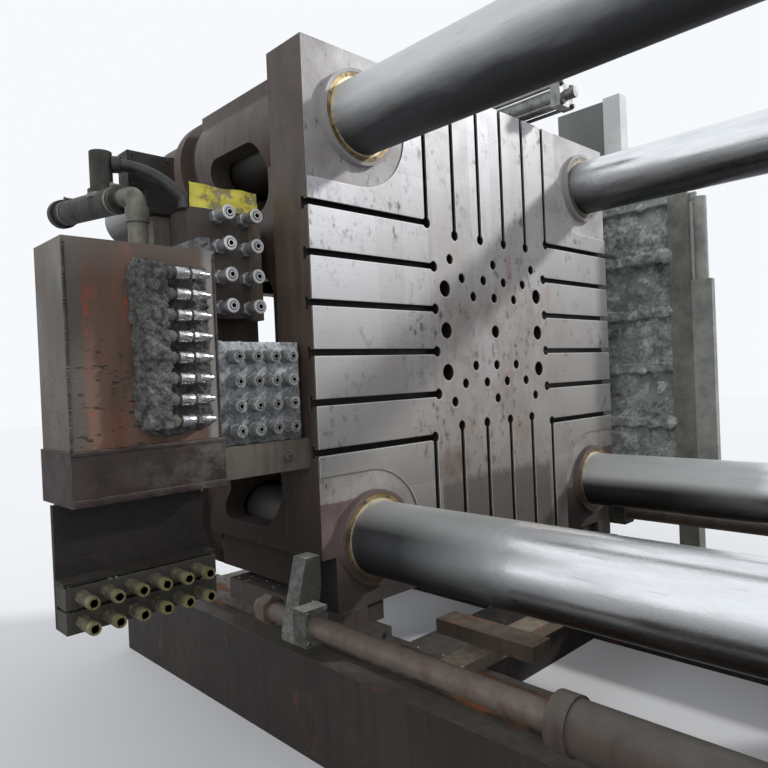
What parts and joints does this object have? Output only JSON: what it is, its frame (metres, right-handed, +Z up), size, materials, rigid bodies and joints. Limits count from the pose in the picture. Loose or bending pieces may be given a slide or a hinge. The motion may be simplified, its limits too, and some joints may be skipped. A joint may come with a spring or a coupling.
{
  "type": "die casting machine clamping unit",
  "caption": "Clamping unit of a large cold-chamber die casting machine: slotted platens, round tie bars, bed, locks, travel cylinders and hydraulic port blocks.",
  "frame": {"origin": "on the floor under the middle of the moving platen's die face, with the die space as wide as in the picture", "axes": "+X along the machine from the moving platen to the fixed platen, +Z up, -Y to the operator's side"},
  "size_m": [5.35, 3.905, 3.44],
  "materials": {
    "brown_paint": "dirty satin",
    "bed_paint": "dirty matt",
    "red_paint": "rusty satin",
    "polished_bar": "polished",
    "dull_steel": "dull",
    "rusty_steel": "rusty",
    "crusted_steel": "crusted with dried release agent",
    "fitting_steel": "plated",
    "fitting_brass": "yellow passivated",
    "bush_bronze": "worn",
    "yellow_tag": "matt",
    "port_metal": "matt",
    "port_paint": "dirty satin",
    "black_rubber": "matt"
  },
  "bodies": {
    "machine_frame": {"bed_beam_near": "bed_paint", "bed_beam_far": "bed_paint", "bed_cross_members": "bed_paint", "guide_strips": "rusty_steel", "fixed_platen": "brown_paint", "fixed_platen_feet": "bed_paint", "sleeve_ring": "dull_steel", "tie_bar_upper_near": "polished_bar", "tie_bar_upper_far": "polished_bar", "tie_bar_lower_near": "polished_bar", "tie_bar_lower_far": "polished_bar", "tie_bar_nuts": "dull_steel", "travel_barrels": "brown_paint", "barrel_brackets": "bed_paint", "rest_bar": "rusty_steel", "rest_slab": "rusty_steel", "guard_panel": "crusted_steel", "guard_post": "crusted_steel"},
    "moving_platen_unit": {"moving_platen": "brown_paint", "moving_platen_feet": "bed_paint", "slide_shoes": "dull_steel", "bar_bushes": "bush_bronze", "lock_housings": "brown_paint", "lock_cylinders": "dull_steel", "ejector_cylinder": "dull_steel", "top_cylinder": "dull_steel", "side_console": "brown_paint", "upper_port_block": "port_paint", "upper_port_fittings": "fitting_steel", "tag_plate": "yellow_tag", "lower_port_block": "port_metal", "lower_port_fittings": "fitting_steel", "valve_box": "red_paint", "valve_box_skirt": "red_paint", "coupling_block": "crusted_steel", "quick_couplings": "fitting_steel", "valve_column": "red_paint", "return_bars": "bed_paint", "return_fittings": "fitting_brass", "return_pipe": "dull_steel", "bow_hose": "black_rubber", "terminal_box": "crusted_steel", "travel_brackets": "crusted_steel", "travel_clamps": "crusted_steel", "travel_rods": "rusty_steel"}
  },
  "joints": [
    {"name": "platen_travel", "type": "slide", "parent": "machine_frame", "child": "moving_platen_unit", "axis": [1, 0, 0], "range_m": [-0.8, 0.35]}
  ]
}
